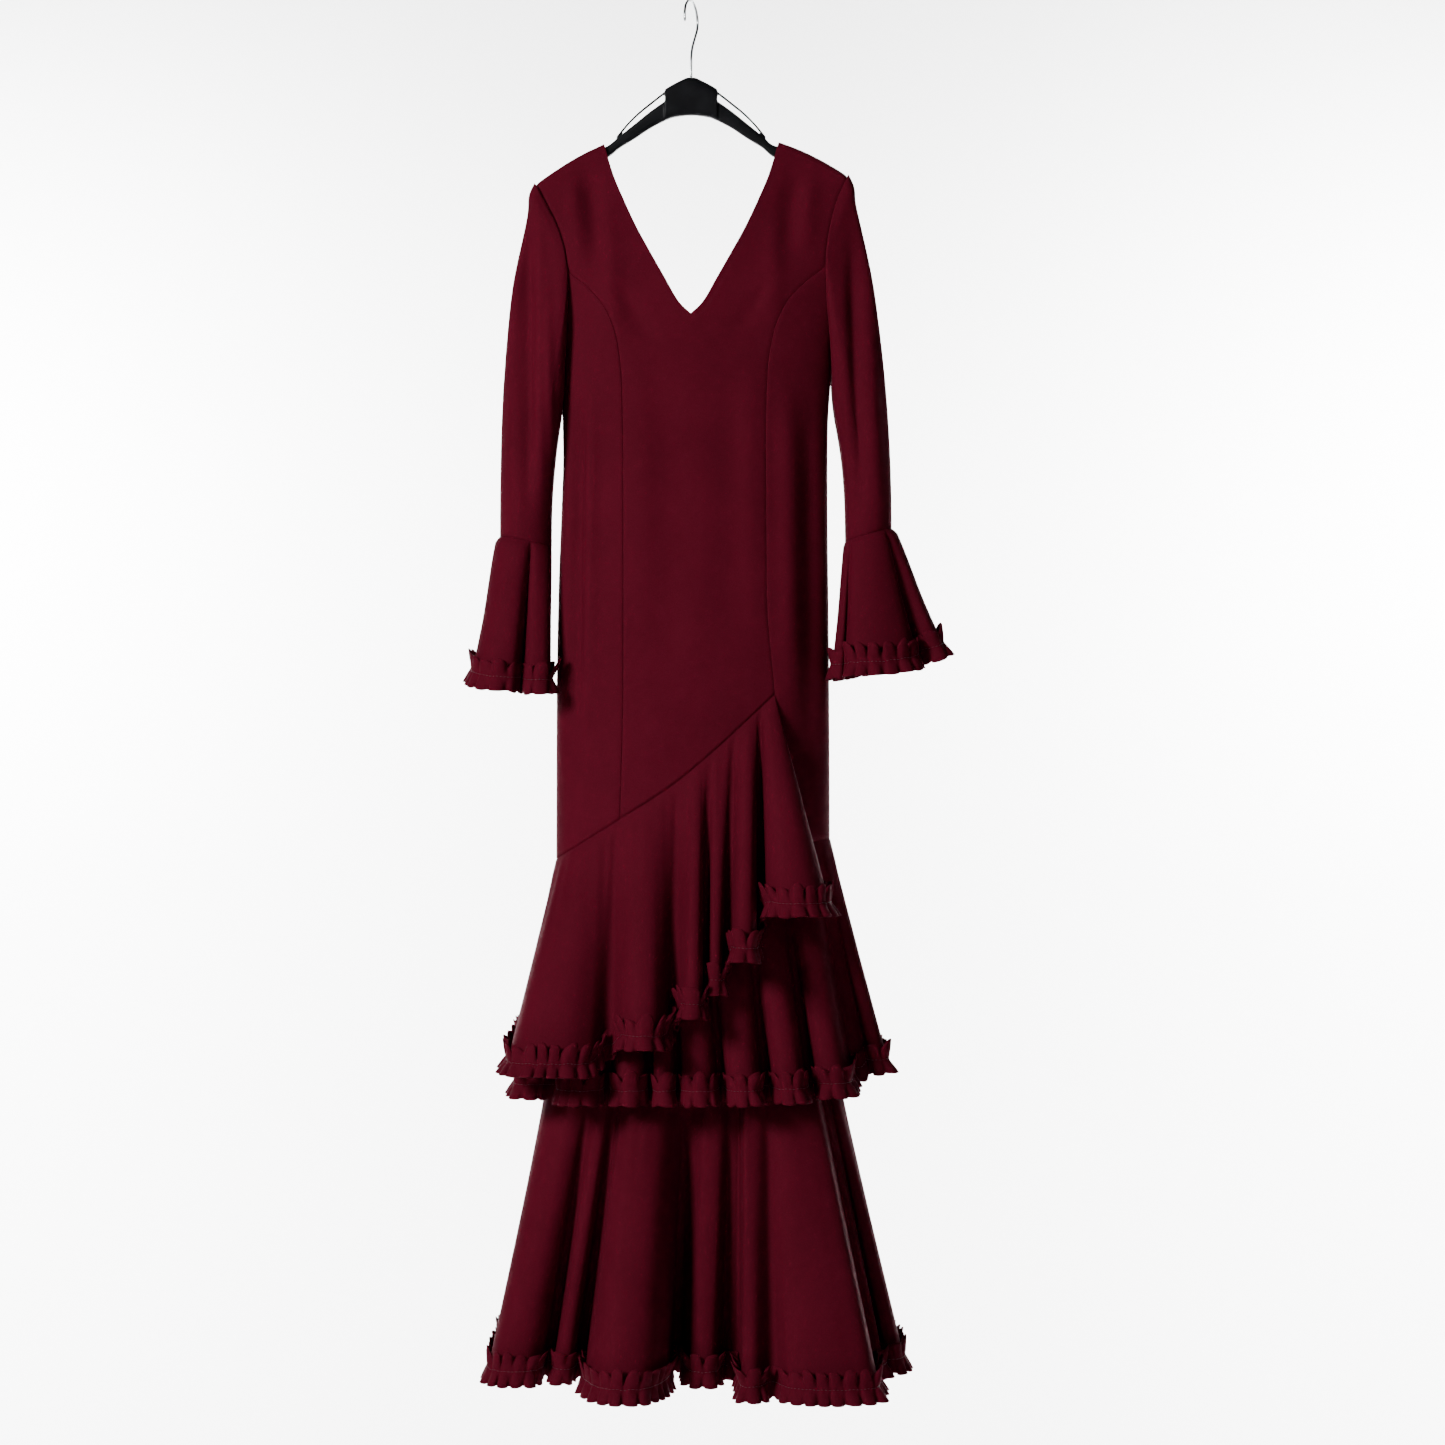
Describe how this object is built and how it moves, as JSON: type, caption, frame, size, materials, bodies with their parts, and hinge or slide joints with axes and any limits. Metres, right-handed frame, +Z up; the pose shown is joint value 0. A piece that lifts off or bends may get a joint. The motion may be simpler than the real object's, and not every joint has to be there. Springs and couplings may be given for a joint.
{
  "type": "flamenco dress on its hanger",
  "caption": "Long flared dress with a deep V neck, long sleeves ending in flounces and ruffled skirt tiers, hanging on a moulded clothes hanger with a wire hook.",
  "frame": {"origin": "where a rail or peg touches the underside of the wire at the top of the hanger's hook", "axes": "+Z up, +Y towards the back of the dress, +X towards the wearer's left sleeve (the viewer's right)"},
  "size_m": [0.5726, 0.3826, 1.6117],
  "materials": {
    "cloth": "matte burgundy crepe with tone-on-tone stitching",
    "hanger_plastic": "black satin moulded plastic",
    "hook_steel": "bright plated wire"
  },
  "bodies": {
    "root": {"front_centre": "cloth", "front_side_left": "cloth", "front_side_right": "cloth", "back_left": "cloth", "back_right": "cloth", "back_side_left": "cloth", "back_side_right": "cloth", "skirt_front": "cloth", "skirt_back": "cloth", "sleeve_left": "cloth", "sleeve_right": "cloth", "sleeve_flounce_left": "cloth", "sleeve_flounce_right": "cloth", "sleeve_trim_left": "cloth", "sleeve_trim_right": "cloth", "tier_one_front": "cloth", "tier_one_back": "cloth", "trim_one_front": "cloth", "trim_one_back": "cloth", "tier_two_front": "cloth", "tier_two_back": "cloth", "trim_two_front": "cloth", "trim_two_back": "cloth", "tier_three_front": "cloth", "tier_three_back": "cloth", "trim_three_front": "cloth", "trim_three_back": "cloth", "hanger": "hanger_plastic", "hook": "hook_steel"}
  },
  "joints": []
}
